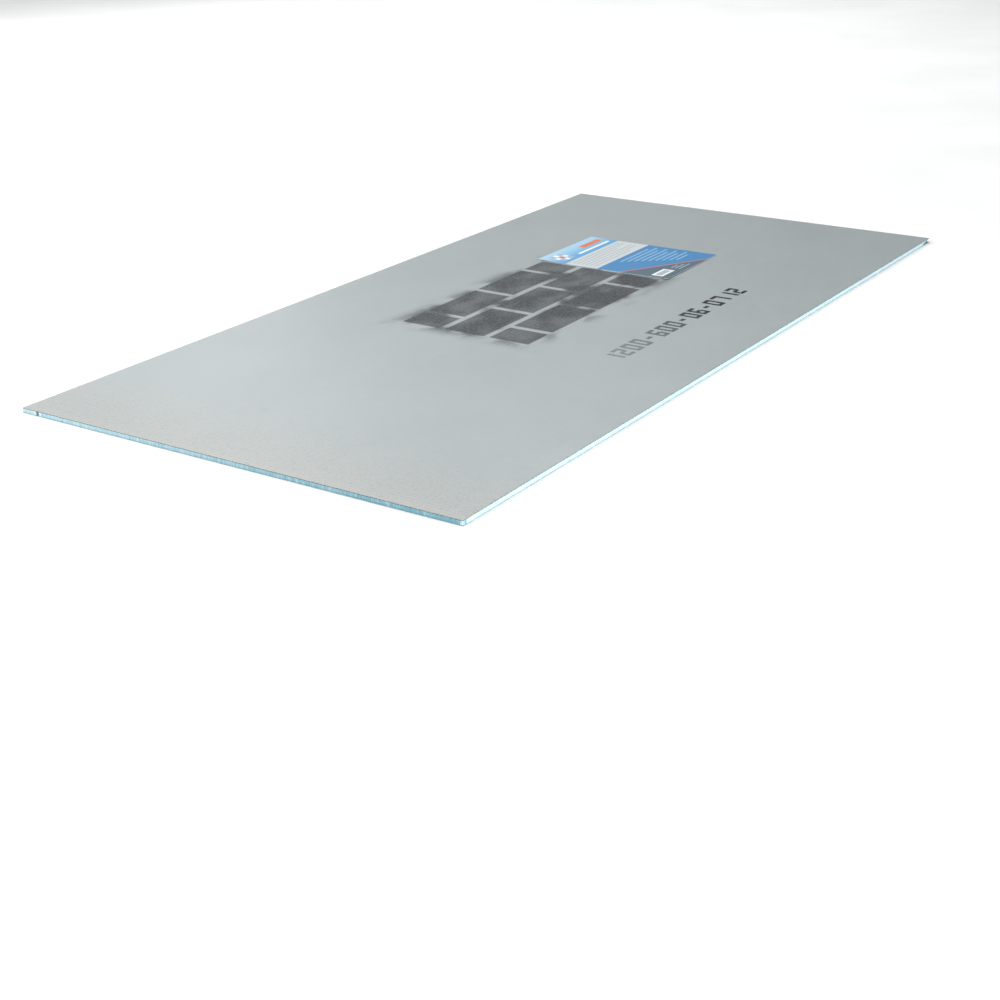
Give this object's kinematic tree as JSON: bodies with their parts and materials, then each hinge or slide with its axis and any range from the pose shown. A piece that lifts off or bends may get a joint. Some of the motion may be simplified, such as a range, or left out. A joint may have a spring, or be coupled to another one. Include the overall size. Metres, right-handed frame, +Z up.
{
  "type": "foam tile backer board",
  "caption": "Flat foam sheet with a grey mesh-reinforced cement coat on both faces, for tiling on, with a small printed card lying on it.",
  "frame": {"origin": "centre of the board's underside, in the plane of the floor that it lies on", "axes": "+X along the board's long side, +Y along its short side, +Z up, out of the printed face"},
  "size_m": [1.2, 0.6, 0.0073],
  "materials": {
    "blue_foam": "saw-cut extruded polystyrene foam, pale blue",
    "cement_coat": "grey polymer-modified cement over a woven glass mesh, slight sheen",
    "printed_card": "coated card with a blue and white print"
  },
  "bodies": {
    "root": {"foam_core": "blue_foam", "top_coat": "cement_coat", "bottom_coat": "cement_coat", "leaflet": "printed_card"}
  },
  "joints": []
}
